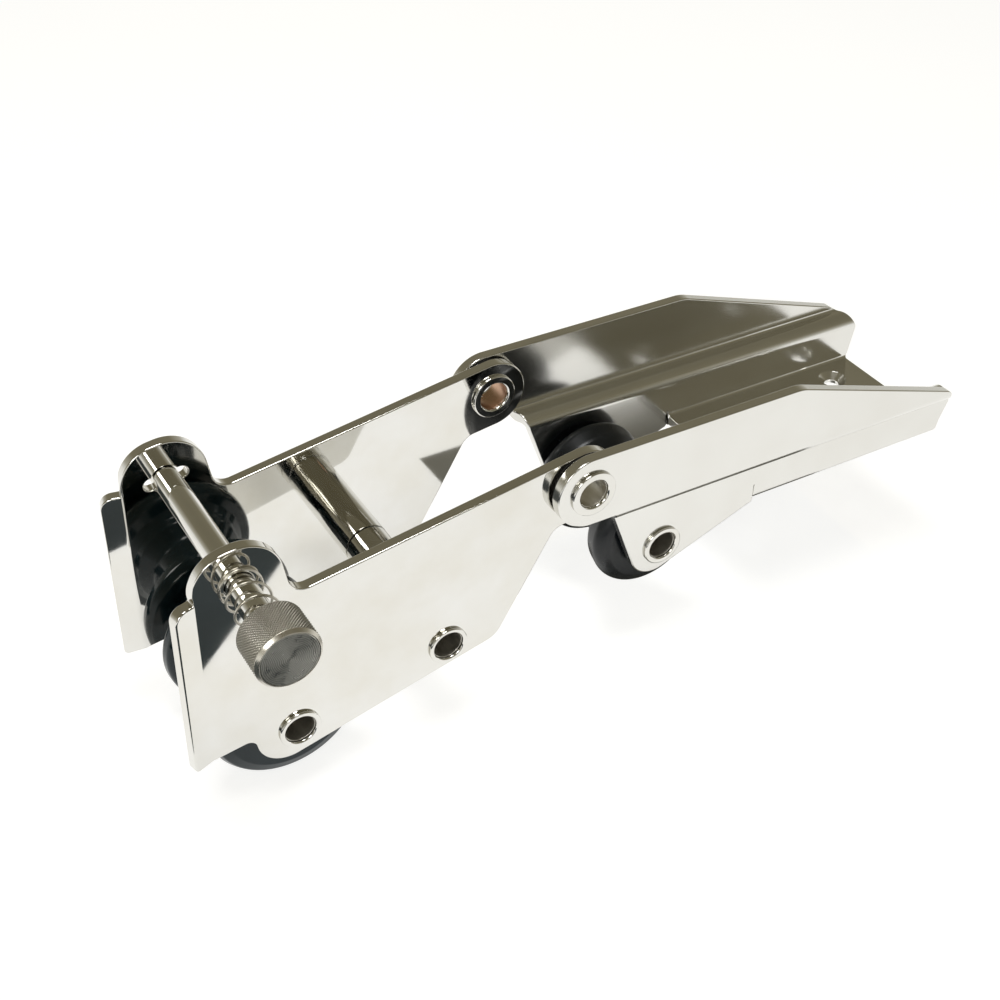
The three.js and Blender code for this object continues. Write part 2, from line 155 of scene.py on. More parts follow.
def make(name, verts, faces, normals, body, nodes, material, cradle=False):
    """One finished piece in the row frame, that rides on body and stands for the named CAD nodes."""
    verts = np.array(verts, float)
    if cradle:
        verts = to_cradle_place(verts) + HINGE
        normals = None if normals is None else to_cradle_place(np.array(normals, float))
    tri = np.array([(f[0], f[k], f[k + 1]) for f in faces for k in range(1, len(f) - 1)])
    a, b, c = verts[tri[:, 0]], verts[tri[:, 1]], verts[tri[:, 2]]
    if np.einsum("ij,ij->i", a, np.cross(b, c)).sum() < 0:
        faces = [tuple(reversed(f)) for f in faces]
    mesh = bpy.data.meshes.new(name)
    mesh.from_pydata((verts / 1000).tolist(), [], [tuple(int(i) for i in f) for f in faces])
    mesh.polygons.foreach_set("use_smooth", [True] * len(mesh.polygons))
    mesh.update()
    if normals is not None:
        normals = np.array(normals, float)
        normals /= np.linalg.norm(normals, axis=1)[:, None]
        mesh.normals_split_custom_set_from_vertices(normals.tolist())
    piece = bpy.data.objects.new(name, mesh)
    bpy.context.scene.collection.objects.link(piece)
    piece.data.materials.append(material[1])
    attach(piece, body)
    if nodes:
        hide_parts(*nodes)
    return piece


def soft_edge(edge, steps=5):
    """The profile of a rounded sheet edge, in rows of (outwards, height, normal outwards, normal up)."""
    rows = []
    for k in range(steps + 1):
        a = math.pi / 2 * k / steps
        out, up = math.sin(a), math.cos(a)
        rows.append((edge * out, SHEET / 2 - edge * (1 - up), out, up))
    return rows + [(d, -t, o, -u) for d, t, o, u in reversed(rows)]


SCREW_R = 2.8
SINK_R = 5.3
SINK_DEPTH = 2.5


def sink_edge(edge):
    """The inside of a countersunk hole, from the top of the sheet to its underside."""
    top = SHEET / 2
    wide = SINK_R - SCREW_R
    soft, burr = 0.05, 0.2         # bevels between cone and bore, and at the underside
    slope = math.atan2(wide, SINK_DEPTH)
    rows = [(0, top, 0, 1)]
    for k in (1, 2, 3):
        a = (math.pi / 2 - slope) * k / 3
        out, up = math.sin(a), math.cos(a)
        rows.append((edge * out, top - edge * (1 - up), out, up))
    rows.append((edge + wide - soft, top - SINK_DEPTH + soft, math.cos(slope), math.sin(slope)))
    rows.append((edge + wide, top - SINK_DEPTH - soft, 1, 0))
    rows.append((edge + wide, burr - top, 1, 0))
    rows.append((edge + wide - burr, -top, 0, -1))
    return rows


def inside(points, loops):
    """Whether each point is inside an odd number of loops."""
    count = np.zeros(len(points), int)
    for loop in loops:
        x1, y1 = loop[:, 0], loop[:, 1]
        x2, y2 = np.roll(x1, -1), np.roll(y1, -1)
        px, py = points[:, 0][:, None], points[:, 1][:, None]
        with np.errstate(divide="ignore", invalid="ignore"):
            cross = x1 + (py - y1) * (x2 - x1) / (y2 - y1)
        hit = ((y1 > py) != (y2 > py)) & (px < cross)
        count += hit.sum(1)
    return count % 2 == 1


def blank(outline, holes, folds, sinks=()):
    """Triangles of a flat blank, split along its fold lines: points, triangles and boundary loops.

    Each loop comes with the profile of its edge. Sinks are the centres of countersunk holes.
    """
    outer = ccw(outline)
    loops = [outer - EDGE * outward(outer)]
    loops += [ccw(h) + EDGE * outward(ccw(h)) for h in holes]
    loops += [circle(*s, SINK_R + EDGE / 2, 48) for s in sinks]
    verts, edges = [], []
    for loop in loops:
        first = len(verts)
        verts += loop.tolist()
        edges += [(first + k, first + (k + 1) % len(loop)) for k in range(len(loop))]
    for fold in folds:
        edges.append((len(verts), len(verts) + 1))
        verts += [list(p) for p in fold]
    out = delaunay_2d_cdt([Vector(v) for v in verts], edges, [], 0, 1e-5)
    points = np.array([tuple(v) for v in out[0]])
    tri = np.array([tuple(f) for f in out[2]])
    tri = tri[inside(points[tri].mean(1), loops)]
    u, v = points[tri[:, 1]] - points[tri[:, 0]], points[tri[:, 2]] - points[tri[:, 0]]
    clockwise = u[:, 0] * v[:, 1] - u[:, 1] * v[:, 0] < 0
    tri[clockwise] = tri[clockwise][:, ::-1]
    used, tri = np.unique(tri, return_inverse=True)
    tri = tri.reshape(-1, 3)
    points = points[used]
    directed = {(a, b) for t in tri.tolist() for a, b in ((t[0], t[1]), (t[1], t[2]), (t[2], t[0]))}
    after = {a: b for a, b in directed if (b, a) not in directed}
    found = []
    while after:
        here, b = after.popitem()
        loop = [here]
        while b != here:
            loop.append(b)
            b = after.pop(b)
        middle = points[loop].mean(0)
        sunk = any(np.linalg.norm(middle - s) < 1 for s in np.array(sinks).reshape(-1, 2))
        found.append((loop, sink_edge(EDGE / 2) if sunk else soft_edge(EDGE)))
    return points, tri, found


def bent_sheet(name, flat, place, **use):
    """The blank bent to shape. place(points, heights) gives places and the three directions there."""
    points, tri, loops = flat
    top = np.full(len(points), SHEET / 2)
    under = points.copy()
    for loop, profile in loops:
        under[loop] += outward(points[loop]) * profile[-1][0]
    upper, _, _, normal = place(points, top)
    lower, _, _, below = place(under, -top)
    verts, normals = [upper, lower], [normal, -below]
    count = len(points)
    faces = tri.tolist() + [(a + count, c + count, b + count) for a, b, c in tri.tolist()]
    last = 2 * count
    for loop, profile in loops:
        side = outward(points[loop])
        rings = [loop]
        for d, t, out, up in profile[1:-1]:
            where, u, v, n = place(points[loop] + side * d, np.full(len(loop), t))
            verts.append(where)
            normals.append(out * (side[:, :1] * u + side[:, 1:] * v) + up * n)
            rings.append(list(range(last, last + len(loop))))
            last += len(loop)
        rings.append([i + count for i in loop])
        for high, low in zip(rings, rings[1:]):
            for k in range(len(loop)):
                m = (k + 1) % len(loop)
                faces.append((high[k], low[k], low[m], high[m]))
    return make(name, np.concatenate(verts), faces, np.concatenate(normals), **use)


def bend_path(start, parts):
    """A path of straight runs and arcs: (length, turn) each. Returns a function of distance."""
    knots, point, angle, run = [], np.array(start, float), 0.0, 0.0
    for length, turn in parts:
        knots.append((run, point, angle, length, turn))
        if turn:
            r = length / turn
            point = point + r * np.array((math.sin(angle + turn) - math.sin(angle),
                                          math.cos(angle) - math.cos(angle + turn)))
        else:
            point = point + length * np.array((math.cos(angle), math.sin(angle)))
        angle += turn
        run += length

    def at(s):
        where = np.zeros((len(s), 2))
        heading = np.zeros(len(s))
        index = np.clip(np.searchsorted([k[0] for k in knots], s, side="right") - 1, 0, None)
        for i, (run0, p, a, length, turn) in enumerate(knots):
            pick = index == i
            t = s[pick] - run0
            if turn:
                r = length / turn
                b = a + turn * t / length
                where[pick] = p + r * np.stack((np.sin(b) - math.sin(a), math.cos(a) - np.cos(b)), 1)
            else:
                b = np.full(len(t), a)
                where[pick] = p + t[:, None] * np.array((math.cos(a), math.sin(a)))
            heading[pick] = b
        return where, heading

    return at, [k[0] for k in knots] + [run]


def band(rows, sides):
    """Faces between each ring of vertices and the next, for rings of sides vertices one after another."""
    corners = [(k, (k + 1) % sides) for k in range(sides)]
    return [(i * sides + k, i * sides + m, (i + 1) * sides + m, (i + 1) * sides + k)
            for i in range(rows - 1) for k, m in corners]


def lathe(name, loop, centre, segments=96, ripple=None, custom=True, **use):
    """A closed (radius, y) profile turned about an axis parallel to Y through centre (x, z)."""
    loop = ccw(np.array(loop, float))
    flat = outward(loop)
    angle = np.arange(segments) * 2 * math.pi / segments
    verts, normals, index = [], [], []
    for (r, y), (nr, ny) in zip(loop, flat):
        if r < 1e-6:
            index.append([len(verts)] * segments)
            verts.append((centre[0], y, centre[1]))
            normals.append((0, 1 if ny > 0 else -1, 0))
            continue
        index.append(list(range(len(verts), len(verts) + segments)))
        for a in angle:
            rr = r + (ripple(a, r, y) if ripple else 0)
            verts.append((centre[0] + rr * math.cos(a), y, centre[1] + rr * math.sin(a)))
            normals.append((nr * math.cos(a), ny, nr * math.sin(a)))
    faces = []
    for i, row in enumerate(index):
        nxt = index[(i + 1) % len(index)]
        for k in range(segments):
            m = (k + 1) % segments
            corner = list(dict.fromkeys((row[k], row[m], nxt[m], nxt[k])))
            if len(corner) > 2:
                faces.append(tuple(corner))
    return make(name, verts, faces, normals if custom else None, **use)


# ---------- materials ----------
NOISE_ROUGHNESS = 0.55
# scales of the noises, in features per metre
PATCHES, SMEARS, BUFFING, GRAIN = 45, 160, 28, 900
DUST, GLOSS, PITS, LUMPS = 110, 220, 2600, 90
TOOL_WEAR = 500


def nodes_of(name):
    """A new node material: itself, its nodes, its links and its shader."""
    m = bpy.data.materials.new(name)
    m.use_nodes = True
    return m, m.node_tree.nodes, m.node_tree.links, m.node_tree.nodes["Principled BSDF"]


def noise(nodes, links, scale, detail, stretch=(1, 1, 1)):
    """A procedural noise in the object's own metres."""
    where = nodes.new("ShaderNodeTexCoord")
    mapping = nodes.new("ShaderNodeMapping")
    mapping.inputs["Scale"].default_value = stretch
    tex = nodes.new("ShaderNodeTexNoise")
    tex.inputs["Scale"].default_value = scale
    tex.inputs["Detail"].default_value = detail
    tex.inputs["Roughness"].default_value = NOISE_ROUGHNESS
    links.new(where.outputs["Object"], mapping.inputs["Vector"])
    links.new(mapping.outputs["Vector"], tex.inputs["Vector"])
    return tex.outputs["Fac"]


def spread(nodes, links, value, low, high, start=0.3, end=0.7):
    """Maps a noise onto low..high."""
    m = nodes.new("ShaderNodeMapRange")
    m.inputs["From Min"].default_value = start
    m.inputs["From Max"].default_value = end
    m.inputs["To Min"].default_value = low
    m.inputs["To Max"].default_value = high
    links.new(value, m.inputs["Value"])
    return m.outputs["Result"]


def bump(nodes, links, value, strength, distance, chain=None):
    """A bump from value, laid over the normal in chain if there is one."""
    b = nodes.new("ShaderNodeBump")
    b.inputs["Strength"].default_value = strength
    b.inputs["Distance"].default_value = distance
    links.new(value, b.inputs["Height"])
    if chain is not None:
        links.new(chain, b.inputs["Normal"])
    return b.outputs["Normal"]


def blend_colours(nodes, links, factor, one, two):
    """Colour one where factor is 0 and two where it is 1."""
    m = nodes.new("ShaderNodeMix")
    m.data_type = "RGBA"
    m.inputs["A"].default_value = (*one, 1)
    m.inputs["B"].default_value = (*two, 1)
    links.new(factor, m.inputs["Factor"])
    return m.outputs["Result"]


def metal(name, light, dark, smooth, dull, waves=0.0, grain=0.0, lines=(1, 1, 1), fine=6):
    """A bare metal with uneven polish, slow waves left by the buffing wheel and fine lines."""
    m, nodes, links, shader = nodes_of(name)
    shader.inputs["Metallic"].default_value = 1
    patch = noise(nodes, links, PATCHES, 3)
    links.new(blend_colours(nodes, links, spread(nodes, links, patch, 0, 1), light, dark),
              shader.inputs["Base Color"])
    smear = noise(nodes, links, SMEARS, fine, lines)
    links.new(spread(nodes, links, smear, smooth, dull), shader.inputs["Roughness"])
    normal = None
    if waves:
        normal = bump(nodes, links, noise(nodes, links, BUFFING, 1.0), waves, 0.001)
    if grain:
        normal = bump(nodes, links, noise(nodes, links, GRAIN, 2, lines), grain, 0.0001, normal)
    if normal is not None:
        links.new(normal, shader.inputs["Normal"])
    return m


WAVE_UNIT = 20                 # a wave texture of scale 1 repeats every 2 pi / 20


def turned(name, light, dark, centre, pitch):
    """A metal face with the concentric tool marks of a lathe round centre (x, z)."""
    m, nodes, links, shader = nodes_of(name)
    shader.inputs["Metallic"].default_value = 1
    where = nodes.new("ShaderNodeTexCoord")
    shift = nodes.new("ShaderNodeMapping")
    shift.inputs["Location"].default_value = (-centre[0] / 1000, 0, -centre[1] / 1000)
    wave = nodes.new("ShaderNodeTexWave")
    wave.wave_type = "RINGS"
    wave.rings_direction = "Y"
    wave.inputs["Scale"].default_value = 2 * math.pi / (WAVE_UNIT * pitch / 1000)
    wave.inputs["Distortion"].default_value = 3.5
    wave.inputs["Detail"].default_value = 2
    wave.inputs["Detail Scale"].default_value = 0.6
    links.new(where.outputs["Object"], shift.inputs["Vector"])
    links.new(shift.outputs["Vector"], wave.inputs["Vector"])
    links.new(blend_colours(nodes, links, wave.outputs["Fac"], light, dark), shader.inputs["Base Color"])
    links.new(spread(nodes, links, noise(nodes, links, TOOL_WEAR, 4), 0.24, 0.4), shader.inputs["Roughness"])
    links.new(bump(nodes, links, wave.outputs["Fac"], 0.35, 0.0001), shader.inputs["Normal"])
    return m


def rubber(name, smooth, dull, colour, dusty, pitted=0.12, shine=0.5):
    """Moulded black rubber: even, a little dusty, with a very fine pitting."""
    m, nodes, links, shader = nodes_of(name)
    shader.inputs["Metallic"].default_value = 0
    shader.inputs["Specular IOR Level"].default_value = shine
    dust = noise(nodes, links, DUST, 6)
    links.new(blend_colours(nodes, links, spread(nodes, links, dust, 0, 1, 0.45, 0.8), colour, dusty),
              shader.inputs["Base Color"])
    links.new(spread(nodes, links, noise(nodes, links, GLOSS, 4), smooth, dull), shader.inputs["Roughness"])
    pits = bump(nodes, links, noise(nodes, links, PITS, 3), pitted, 0.0001)
    uneven = bump(nodes, links, noise(nodes, links, LUMPS, 2), pitted, 0.0004, pits)
    links.new(uneven, shader.inputs["Normal"])
    return m


STEEL = ("polished_steel", metal("polished_steel", (0.74, 0.735, 0.71), (0.695, 0.68, 0.63), 0.03, 0.06,
                                 waves=0.035, lines=(0.2, 1, 1)))
FOLDED = ("polished_steel", metal("folded_steel", (0.74, 0.735, 0.705), (0.71, 0.70, 0.665), 0.14, 0.19,
                                  waves=0.015, lines=(0.08, 0.5, 0.5), fine=1.5))
BARE = ("turned_steel", metal("turned_steel", (0.66, 0.63, 0.56), (0.50, 0.475, 0.41), 0.22, 0.36,
                              grain=0.05))
# a darker copy of the turned steel: painted shade of the knurl's grooves
KNURLED_SHADED = ("turned_steel", metal("knurled_steel_painted_shade", (0.42, 0.40, 0.345), (0.30, 0.285, 0.245), 0.28, 0.42,
                                 grain=0.05))
# the bore skin: a beige tone lifted in brightness to light the dark tube bores, which is painted light
LIGHTENED_BORE = ("turned_steel", metal("bore_steel_painted_light", (0.74, 0.72, 0.66), (0.60, 0.575, 0.52), 0.3, 0.46, grain=0.04))
PIN_EYE = to_cradle_place(np.array((PIN[0], 0, PIN[1]))) + HINGE
FACE = ("turned_steel", turned("turned_face", (0.50, 0.49, 0.445), (0.29, 0.285, 0.255),
                               PIN_EYE[[0, 2]], 0.56))
BRONZE = ("bush_bronze", metal("bush_bronze", (0.55, 0.36, 0.25), (0.42, 0.27, 0.19), 0.22, 0.40, grain=0.05))
NYLON = ("washer_nylon", rubber("washer_nylon", 0.45, 0.6, (0.03, 0.03, 0.03), (0.05, 0.05, 0.05)))
GLOSSY = ("roller_rubber", rubber("front_rubber", 0.06, 0.12, (0.005, 0.012, 0.015), (0.009, 0.018, 0.022),
                                  0.03, 0.3))
MATTE = ("roller_rubber", rubber("deck_rubber", 0.26, 0.38, (0.003, 0.0045, 0.006), (0.008, 0.011, 0.013),
                                 0.08, 0.4))

# ---------- deck channel ----------
QUARTER = (BEND_IN + SHEET / 2) * math.pi / 2
SIDE_PARTS = [
    (LOW_Y - BEND_OUT, 0), (QUARTER, math.pi / 2),
    (LEDGE_TOP - SHEET - BEND_IN - BEND_OUT, 0), (QUARTER, -math.pi / 2),
    (TOP_Y - LOW_Y - 2 * BEND_IN - SHEET, 0), (QUARTER, math.pi / 2),
    (DECK_TOP - LEDGE_TOP - BEND_IN, 0),
]
side_at, SIDE_KNOTS = bend_path((0, SHEET / 2), SIDE_PARTS)
SLOT_FRONT = BASE_FRONT + 0.2
CHEEK_REAR = (40.5, 0)         # side view: where the cheek's lower edge leaves the base
CHEEK_TOE = (90.9, -19.9)      # its lowest corner
CHEEK_FRONT = (109.9, LUG_FOOT)
WALL_BEND = (35.5, DECK_TOP)   # where the top edge starts its way down to the rear
LEDGE_REAR = (-41.2, 24.1)     # and where that way ends
BASE_REAR = -44.7
REAR_X = -50.2                 # the low walls lean from the base's rear edge out to this point
REAR_Z = 17.4
PORT_TIP = (-49.4, 13.5)       # where each side's rear edge ends, as x and z
STARBOARD_TIP = (-48.4, REAR_Z)
PORT_STEP = (-42.8, SIDE_KNOTS[3] + 0.3)        # the corner above it, as x and run
STARBOARD_STEP = (-45.2, SIDE_KNOTS[4] - 0.5)
DECK_SCREWS = [(-30, 14.5), (-30, -14.5), (28, 0)]


def run_of(z):
    """Distance along the folded section at which it reaches height z."""
    s = np.linspace(SIDE_KNOTS[1], SIDE_KNOTS[-1], 4000)
    where, _ = side_at(s)
    straight = SIDE_KNOTS[2] - (BEND_OUT - z)
    return np.where(z < BEND_OUT, straight, np.interp(z, where[:, 1], s))


def bent_run(z):
    """The same where the wall bends round into the base."""
    s = np.linspace(SIDE_KNOTS[1], SIDE_KNOTS[2], 400)
    where, _ = side_at(s)
    return np.interp(z, where[:, 1], s)


def height_run(z):
    """run_of for one height."""
    return float(run_of(np.array(z)))


def rear_x(z):
    """The rear edge of the low walls at height z."""
    return BASE_REAR + (REAR_X - BASE_REAR) * z / REAR_Z


def channel_slot():
    """The round-topped slot between base and cheek, down to the cheek's lower edge."""
    half = (SLOT_FRONT - BASE_FRONT) / 2
    top = SIDE_KNOTS[2] + 0.6
    slope = (CHEEK_TOE[1] - CHEEK_REAR[1]) / (CHEEK_TOE[0] - CHEEK_REAR[0])
    arc = [(BASE_FRONT + half + half * math.cos(a), top + half * math.sin(a))
           for a in np.linspace(math.pi, 0, 5)]
    return np.array(arc + [(SLOT_FRONT, height_run((SLOT_FRONT - CHEEK_REAR[0]) * slope))])


def channel_half(step, tip):
    """The port half of the blank, as x and distance from the middle of the base.

    step (x, run) and tip (x, z) are the corners of its rear edge between the high and the low wall.
    """
    bottom = fillet(CHEEK_REAR, CHEEK_TOE, CHEEK_FRONT, 10.2)
    notch = fillet(CHEEK_TOE, CHEEK_FRONT, (LUG_FRONT, LUG_FOOT), 1, 20)
    nose = circle(*HINGE_XZ, LUG_R, 90)[np.arange(-22, 23)]
    shoulder = fillet((LUG_FRONT, DECK_TOP), WALL_BEND, LEDGE_REAR, 16)
    side_view = np.concatenate((bottom, notch, nose, shoulder))
    front = np.stack((side_view[:, 0], run_of(side_view[:, 1])), 1)
    top = (WALL_BEND[0], SIDE_KNOTS[-1])
    knee = (LEDGE_REAR[0], height_run(LEDGE_REAR[1]))
    end = (tip[0], height_run(tip[1]))
    foot = (rear_x(BEND_OUT), SIDE_KNOTS[2])
    rear = [fillet(top, knee, step, 5), fillet(knee, step, end, 4), fillet(step, end, foot, 1.2, 15)]
    bend = [(rear_x(z), float(bent_run(z))) for z in np.linspace(BEND_OUT, SHEET / 2 + 0.01, 9)]
    return np.concatenate((channel_slot(), front, *rear, np.array(bend)))


def channel_flat():
    """The whole blank. The port ledge is cut off shorter at the rear than the starboard one."""
    port = channel_half(PORT_STEP, PORT_TIP)
    starboard = channel_half(STARBOARD_STEP, STARBOARD_TIP)
    return np.concatenate((port, starboard[::-1] * (1, -1)))


SQUARE = 7                     # power of the outer fold under the low walls: 2 is round, more is squarer


def channel_place(points, height):
    """Bends the blank. Ahead of the slot the cheeks go straight down instead of round into the base."""
    x, s = points[:, 0], points[:, 1]
    sign = np.where(s < 0, -1.0, 1.0)
    where, heading = side_at(np.abs(s))
    cheek = (x > (BASE_FRONT + SLOT_FRONT) / 2) & (np.abs(s) < SIDE_KNOTS[3])
    where[cheek, 0] = LOW_Y - SHEET / 2
    where[cheek, 1] = LEDGE_TOP - SHEET - BEND_IN - (SIDE_KNOTS[3] - np.abs(s[cheek]))
    heading[cheek] = math.pi / 2
    n = np.stack((np.zeros(len(x)), -np.sin(heading) * sign, np.cos(heading)), 1)
    v = np.stack((np.zeros(len(x)), np.cos(heading), np.sin(heading) * sign), 1)
    u = np.tile((1.0, 0.0, 0.0), (len(x), 1))
    reach = height.copy()
    tight = (height < 0) & (heading > 0.01) & (heading < math.pi / 2 - 0.01) & (np.abs(s) < SIDE_KNOTS[2])
    c, d = np.cos(heading[tight]), np.sin(heading[tight])
    radius = BEND_IN + SHEET / 2
    reach[tight] = radius - (radius - height[tight]) / (c ** SQUARE + d ** SQUARE) ** (1 / SQUARE)
    place = np.stack((x, where[:, 0] * sign, where[:, 1]), 1) + n * reach[:, None]
    swing = np.stack((0 * c, d ** (SQUARE - 1) * sign[tight], -c ** (SQUARE - 1)), 1)
    n[tight] = -swing / np.linalg.norm(swing, axis=1)[:, None]
    return place, u, v, n


def build_channel():
    """The channel, with the holes of its axles on both sides and the countersunk holes of its screws."""
    folds = []
    for a, b in ((1, 2), (3, 4), (5, 6)):
        for s in np.linspace(SIDE_KNOTS[a], SIDE_KNOTS[b], 11):
            folds += [((FOLD_SPAN[0], side * s), (FOLD_SPAN[1], side * s)) for side in (1, -1)]
    holes = []
    for sign in (1, -1):
        for x, z in (DECK_ROLLER, HINGE_XZ):
            holes.append(circle(x, sign * height_run(z), TUBE_OUT + HOLE_EASE))
    flat = blank(channel_flat(), holes, folds, DECK_SCREWS)
    bent_sheet("channel", flat, channel_place, body="base", nodes=["deck_channel"], material=FOLDED)


build_channel()

# ---------- cradle plates ----------
FLANGE_TILT = math.radians(14)
FOLD_TOP = np.array((132.3, 22.8))
FOLD_FOOT = np.array((141.3, -40.3))
FOLD_IN = 2.0                  # inside radius of the flare's fold
ALONG = unit(FOLD_FOOT - FOLD_TOP)
ACROSS = np.array((-ALONG[1], ALONG[0]))
FOLD_START = -(FOLD_IN + SHEET) * math.tan(FLANGE_TILT / 2)
REACH = 200.0                  # how far the flat part of the plate may go back from the fold
FOLD_RUN = (FOLD_IN + SHEET / 2) * FLANGE_TILT
EAR_R = 14
EAR = (PIN[0] + 0.5, PIN[1] - 0.4)
flare_at, FLARE_KNOTS = bend_path((-REACH, 0), [(REACH + FOLD_START, 0), (FOLD_RUN, FLANGE_TILT), (30, 0)])


def plate_outline():
    """The plate's blank, from corners (x, z, radius) of its side view."""
    side_view = rounded([
        (-LOBE_R, LOBE_R, LOBE_R - 0.3), (-LOBE_R, -LOBE_R, LOBE_R - 0.05), (12.4, -LOBE_R, 6),
        (38.6, -47.5, 8), (125.4, -56.7, 11), (126.4, -40.6, 3.5), (147.6, -41, 1.5),
        (138.75, 23.8, 4.2), (132.1, 23.2, 0.6), (EAR[0] + EAR_R, EAR[1] + EAR_R, EAR_R - 1.2),
        (EAR[0] - EAR_R, EAR[1] + EAR_R, EAR_R - 0.1), (102.8, 10.7, 6),
    ], 4.0)
    return to_flat(side_view)


def to_flat(side_view):
    """Side-view points to the flat blank: distance across the fold line, and along it."""
    p = (side_view - FOLD_FOOT) @ ACROSS
    w = (side_view - FOLD_FOOT) @ ALONG
    s = np.linspace(0, FLARE_KNOTS[-1], 20000)
    where, _ = flare_at(s)
    return np.stack((np.interp(p, where[:, 0], s), w), 1)


def plate_place(side):
    """The function that bends the blank of one side's plate along its flare."""
    def place(points, height):
        where, heading = flare_at(points[:, 0])
        flat = FOLD_FOOT + where[:, :1] * ACROSS + points[:, 1:] * ALONG
        c, s = np.cos(heading)[:, None], np.sin(heading)[:, None]
        ahead = np.array((ACROSS[0], 0, ACROSS[1]))
        out = np.array((0, side, 0))
        u = c * ahead + s * out
        n = -s * ahead + c * out
        v = np.tile((ALONG[0], 0, ALONG[1]), (len(points), 1))
        y = side * (CRADLE_Y - SHEET / 2 + where[:, 1])
        return np.stack((flat[:, 0], y, flat[:, 1]), 1) + n * height[:, None], u, v, n
    return place


def keyway():
    """The pin's hole with a slot each way, for the cross pin."""
    half, reach, r = 2.2, 7.4, PIN_R + CLEAR
    start = math.asin(half / r)
    upper = [(r * math.cos(a), r * math.sin(a)) for a in np.linspace(start, math.pi - start, 22)]
    end = [(half - reach - half * math.sin(a), half * math.cos(a)) for a in np.linspace(0, math.pi, 14)]
    one_half = np.array(upper + end)
    return np.concatenate((one_half, -one_half)) + PIN


def build_plate(name, side):
    """One cradle plate. The port ear has a round hole and the starboard ear a keyway."""
    past = 120                     # the fold lines run past both ends of the flare
    folds = [((s, -past), (s, past)) for s in np.linspace(FLARE_KNOTS[1], FLARE_KNOTS[2], 7)]
    holes = [circle(x, z, TUBE_OUT + HOLE_EASE) for x, z in ((0, 0), GUIDE, FRONT_ROLLER)]
    holes.append(circle(*PIN, PIN_R + 0.15) if side > 0 else keyway())
    flat = blank(plate_outline(), [to_flat(h) for h in holes], folds)
    bent_sheet(f"plate_{name}", flat, plate_place(side), body="cradle",
               nodes=[f"cradle_plate_{name}"], material=STEEL, cradle=True)


SIDES = (("port", 1), ("starboard", -1))
for side_name, side_sign in SIDES:
    build_plate(side_name, side_sign)


# ---------- hollow axles, bushes, washers ----------
def rolled_tube(name, centre, rim, low, high, **use):
    """A tube with both ends rolled outwards over the sheet faces at y = low and y = high."""
    gap = 0.02
    top = high + CLEAR + RIM_T
    foot = low - CLEAR - RIM_T
    loop = rounded([
        (TUBE_IN, foot, 0.8), (rim, foot, 0.5), (rim, low - gap, 0.15), (TUBE_OUT, low - gap, 0.05),
        (TUBE_OUT, high + gap, 0.05), (rim, high + gap, 0.15), (rim, top, 0.5), (TUBE_IN, top, 0.8),
    ], 12)
    lathe(name, loop, centre, **use)


def ring(name, centre, inner, outer, low, high, soft=0.15, **use):
    """A ring with softened corners, between y = low and y = high in either order."""
    low, high = min(low, high), max(low, high)
    loop = rounded([(inner, low, soft), (outer, low, soft), (outer, high, soft), (inner, high, soft)], 18)
    lathe(name, loop, centre, **use)


HINGE_WASHER_R = 10.5
DECK_WASHER_R = 10
FRONT_WASHER_R = 11
rolled_tube("deck_axle_tube", DECK_ROLLER, RIM_R["deck"], -LOW_Y, LOW_Y,
            body="base", nodes=["deck_axle"], material=STEEL)
ring("deck_axle_liner", DECK_ROLLER, *LINER, -LOW_Y, LOW_Y,
     body="base", nodes=[], material=LIGHTENED_BORE)
for side_name, side_sign in SIDES:
    low, high = sorted((side_sign * (CRADLE_Y - SHEET), side_sign * TOP_Y))
    rolled_tube(f"hinge_tube_{side_name}", HINGE_XZ, RIM_R["hinge"], low, high,
                body="base", nodes=[f"hinge_bush_{side_name}"], material=STEEL)
    ring(f"hinge_liner_{side_name}", HINGE_XZ, *LINER, low, high,
         body="base", nodes=[], material=BRONZE if side_sign < 0 else LIGHTENED_BORE)
    ring(f"washer_hinge_{side_name}", HINGE_XZ, TUBE_OUT + CLEAR, HINGE_WASHER_R,
         side_sign * (CRADLE_Y + 0.1), side_sign * (TOP_Y - SHEET - 0.1),
         body="base", nodes=[f"hinge_washer_{side_name}"], material=NYLON)
    ring(f"washer_deck_{side_name}", DECK_ROLLER, TUBE_OUT + CLEAR, DECK_WASHER_R,
         side_sign * (DECK_HALF + CLEAR), side_sign * (LOW_Y - SHEET - CLEAR),
         body="base", nodes=[f"deck_washer_{side_name}"], material=NYLON)
    ring(f"washer_front_{side_name}", FRONT_ROLLER, TUBE_OUT + CLEAR, FRONT_WASHER_R,
         side_sign * (FRONT_HALF + CLEAR), side_sign * (CRADLE_Y - SHEET - CLEAR),
         body="cradle", nodes=[f"front_washer_{side_name}"], material=NYLON, cradle=True)
for axle, where in (("front", FRONT_ROLLER), ("guide", GUIDE)):
    rolled_tube(f"{axle}_axle_tube", where, RIM_R[axle], -CRADLE_Y, CRADLE_Y,
                body="cradle", nodes=[f"{axle}_axle"], material=STEEL, cradle=True)
    ring(f"{axle}_axle_liner", where, *LINER, -CRADLE_Y, CRADLE_Y,
         body="cradle", nodes=[], material=LIGHTENED_BORE, cradle=True)
GUIDE_END = CRADLE_Y - SHEET - CLEAR
COLLAR_FOOT = 20.6             # y where the collar starts and the sleeve ends, a gap apart
ring("collar", GUIDE, TUBE_OUT + CLEAR, GUIDE_R + 0.3, COLLAR_FOOT, GUIDE_END, 0.3,
     body="cradle", nodes=["guide_collar"], material=STEEL, cradle=True)
ring("sleeve", GUIDE, TUBE_OUT + CLEAR, GUIDE_R, -GUIDE_END, COLLAR_FOOT - CLEAR, 0.25,
     body="guide_sleeve", nodes=["guide_sleeve"], material=STEEL, cradle=True)

# ---------- rollers ----------
BUSH_IN = TUBE_OUT + CLEAR
BUSH_OUT = BUSH_IN + 1.6
BORE = BUSH_OUT + CLEAR


